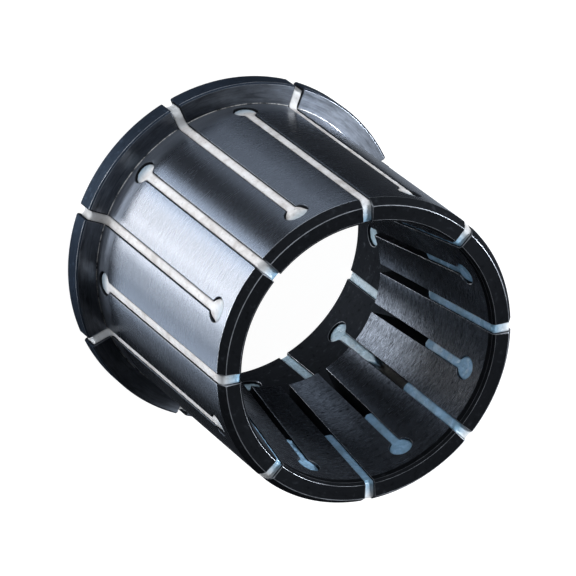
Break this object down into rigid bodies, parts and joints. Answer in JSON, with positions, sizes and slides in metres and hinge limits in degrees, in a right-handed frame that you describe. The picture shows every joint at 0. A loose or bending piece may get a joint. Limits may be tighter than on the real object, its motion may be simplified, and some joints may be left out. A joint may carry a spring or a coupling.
{
  "type": "clamping sleeve",
  "caption": "Flanged steel clamping sleeve, slotted from both ends with elastomer in the slots; a taper inside expands it to grip a workpiece bore.",
  "frame": {"origin": "centre of the flange's back face, on the sleeve's axis", "axes": "+Z along the sleeve's axis towards the free front end; +X through a slot that is open at the front"},
  "size_m": [0.0604, 0.0604, 0.0545],
  "materials": {
    "blued_steel": "turned, hardened and blackened steel, satin with fine turning marks",
    "elastomer": "off-white cast elastomer, matt to satin"
  },
  "bodies": {
    "root": {"sleeve": "blued_steel", "front_slot_strip_1": "elastomer", "front_slot_strip_2": "elastomer", "front_slot_strip_3": "elastomer", "front_slot_strip_4": "elastomer", "front_slot_strip_5": "elastomer", "front_slot_strip_6": "elastomer", "front_slot_strip_7": "elastomer", "front_slot_strip_8": "elastomer", "rear_slot_strip_1": "elastomer", "rear_slot_strip_2": "elastomer", "rear_slot_strip_3": "elastomer", "rear_slot_strip_4": "elastomer", "rear_slot_strip_5": "elastomer", "rear_slot_strip_6": "elastomer", "rear_slot_strip_7": "elastomer", "rear_slot_strip_8": "elastomer"}
  },
  "joints": []
}
